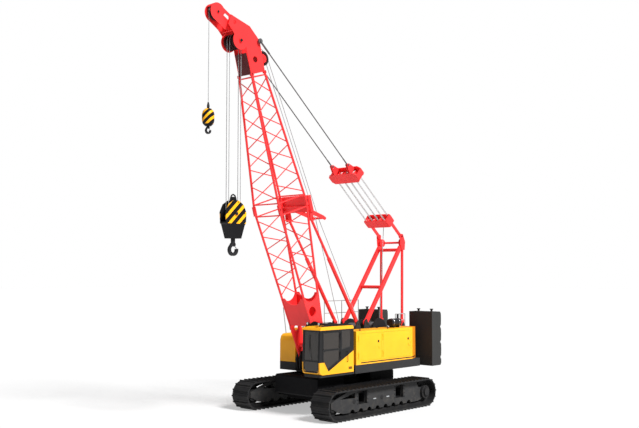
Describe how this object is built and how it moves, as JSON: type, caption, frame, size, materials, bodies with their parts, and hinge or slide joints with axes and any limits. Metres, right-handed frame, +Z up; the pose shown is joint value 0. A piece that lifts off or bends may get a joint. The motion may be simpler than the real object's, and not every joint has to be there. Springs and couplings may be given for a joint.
{
  "type": "crawler crane",
  "caption": "Lattice-boom crawler crane with slewing upperworks, glazed cab, stacked counterweight, raised gantry, luffing pendants, main hook block and auxiliary hook.",
  "frame": {"origin": "slew axis at ground level", "axes": "+X forward along the stored boom, +Y to the left (cab side), +Z up"},
  "size_m": [11.4509, 5.2, 15.1308],
  "materials": {
    "red_paint": "satin",
    "yellow_paint": "satin",
    "black_paint": "satin",
    "grey_paint": "satin",
    "light_grey_paint": "satin",
    "counterweight_grey": "satin",
    "dark_steel": "satin",
    "engine_grey": "matte",
    "track_steel": "matte",
    "wire_rope": "satin",
    "seat_black": "matte",
    "tinted_glass": "gloss"
  },
  "bodies": {
    "undercarriage": {"carbody": "grey_paint", "slewing_ring": "grey_paint", "crawler_frame_left": "grey_paint", "crawler_frame_right": "grey_paint", "track_left": "track_steel", "track_right": "track_steel", "idlers": "track_steel", "drive_sprockets": "track_steel", "track_rollers": "track_steel"},
    "upperworks": {"turntable_frame": "grey_paint", "deck_left": "grey_paint", "deck_right": "grey_paint", "left_house": "yellow_paint", "right_house": "yellow_paint", "right_front_box": "yellow_paint", "engine_block": "engine_grey", "exhaust": "dark_steel", "cab_shell": "yellow_paint", "cab_glass": "tinted_glass", "cab_roof_guard": "black_paint", "operator_seat": "seat_black", "counterweight_left": "counterweight_grey", "counterweight_right": "counterweight_grey", "counterweight_tray": "counterweight_grey", "gantry_front_legs": "red_paint", "gantry_rear_legs": "red_paint", "winch_drums": "dark_steel", "handrails": "light_grey_paint"},
    "service_door_front": {"service_door_front": "yellow_paint"},
    "service_door_rear": {"service_door_rear": "yellow_paint"},
    "cab_door": {"cab_door": "black_paint", "cab_door_glass": "tinted_glass"},
    "boom": {"boom_base": "red_paint", "boom_top": "red_paint", "boom_crossbeam": "red_paint", "boom_head": "red_paint", "head_sheaves": "dark_steel"},
    "bail": {"lower_spreader": "red_paint", "luffing_ropes": "wire_rope"},
    "bridle": {"upper_spreader": "red_paint", "pendants": "wire_rope"},
    "backstop_tubes": {"backstop_tubes": "red_paint"},
    "backstop_rods": {"backstop_rods": "red_paint"},
    "main_fall": {"main_fall_ropes": "wire_rope"},
    "main_block": {"main_hook_block": "yellow_paint"},
    "main_hook": {"main_hook": "dark_steel"},
    "aux_fall": {"aux_fall_rope": "wire_rope"},
    "aux_weight": {"aux_weight": "yellow_paint"},
    "aux_hook": {"aux_hook": "dark_steel"}
  },
  "joints": [
    {"name": "slew", "type": "hinge", "parent": "undercarriage", "child": "upperworks", "pos_m": [0, 0, 1.4], "axis": [0, 0, 1], "continuous": true},
    {"name": "boom_luff", "type": "hinge", "parent": "upperworks", "child": "boom", "pos_m": [1.35, 0, 2.15], "axis": [0, -1, 0], "range_deg": [-42.7, 7.3]},
    {"name": "bail_swing", "type": "hinge", "parent": "upperworks", "child": "bail", "pos_m": [-3.55, 0, 7], "axis": [0, -1, 0], "range_deg": [-34.7, 6]},
    {"name": "bridle_slide", "type": "slide", "parent": "bail", "child": "bridle", "axis": [0.7591, 0, 0.651], "range_m": [-0.82, 4.7], "deforming": ["luffing_ropes"]},
    {"name": "backstop_swing", "type": "hinge", "parent": "upperworks", "child": "backstop_tubes", "pos_m": [-0.65, 0, 3.35], "axis": [0, -1, 0], "range_deg": [-36.9, 6.4]},
    {"name": "backstop_slide", "type": "slide", "parent": "backstop_tubes", "child": "backstop_rods", "axis": [0.5498, 0, 0.8353], "range_m": [-0.28, 1.61]},
    {"name": "main_fall_swing", "type": "hinge", "parent": "boom", "child": "main_fall", "pos_m": [5.56429, 0, 13.89826], "axis": [0, -1, 0], "range_deg": [-7.4, 42.8]},
    {"name": "main_hoist", "type": "slide", "parent": "main_fall", "child": "main_block", "axis": [0, 0, -1], "range_m": [-2, 5], "deforming": ["main_fall_ropes"]},
    {"name": "main_hook_swivel", "type": "hinge", "parent": "main_block", "child": "main_hook", "pos_m": [5.56429, 0, 6.8], "axis": [0, 0, 1], "continuous": true},
    {"name": "aux_fall_swing", "type": "hinge", "parent": "boom", "child": "aux_fall", "pos_m": [6.50002, 0, 14.80083], "axis": [0, -1, 0], "range_deg": [-7.4, 42.8]},
    {"name": "aux_hoist", "type": "slide", "parent": "aux_fall", "child": "aux_weight", "axis": [0, 0, -1], "range_m": [-1.2, 9.5], "deforming": ["aux_fall_rope"]},
    {"name": "aux_hook_swivel", "type": "hinge", "parent": "aux_weight", "child": "aux_hook", "pos_m": [6.77092, 0, 10.65], "axis": [0, 0, 1], "continuous": true},
    {"name": "cab_door_hinge", "type": "hinge", "parent": "upperworks", "child": "cab_door", "pos_m": [1.594, 1.696, 2.5], "axis": [0, 0, 1], "range_deg": [0, 100]},
    {"name": "service_door_front_hinge", "type": "hinge", "parent": "upperworks", "child": "service_door_front", "pos_m": [0.556, 1.716, 2.5], "axis": [0, 0, -1], "range_deg": [0, 100]},
    {"name": "service_door_rear_hinge", "type": "hinge", "parent": "upperworks", "child": "service_door_rear", "pos_m": [-0.944, 1.716, 2.5], "axis": [0, 0, -1], "range_deg": [0, 100]}
  ],
  "couplings": [
    {"joint": "bail_swing", "follows": "boom_luff", "ratio": 0.8083},
    {"joint": "bridle_slide", "follows": "boom_luff", "m_per_rad": -6.264},
    {"joint": "backstop_swing", "follows": "boom_luff", "ratio": 0.8604},
    {"joint": "backstop_slide", "follows": "boom_luff", "m_per_rad": -2.134},
    {"joint": "main_fall_swing", "follows": "boom_luff", "ratio": -1},
    {"joint": "aux_fall_swing", "follows": "boom_luff", "ratio": -1}
  ]
}
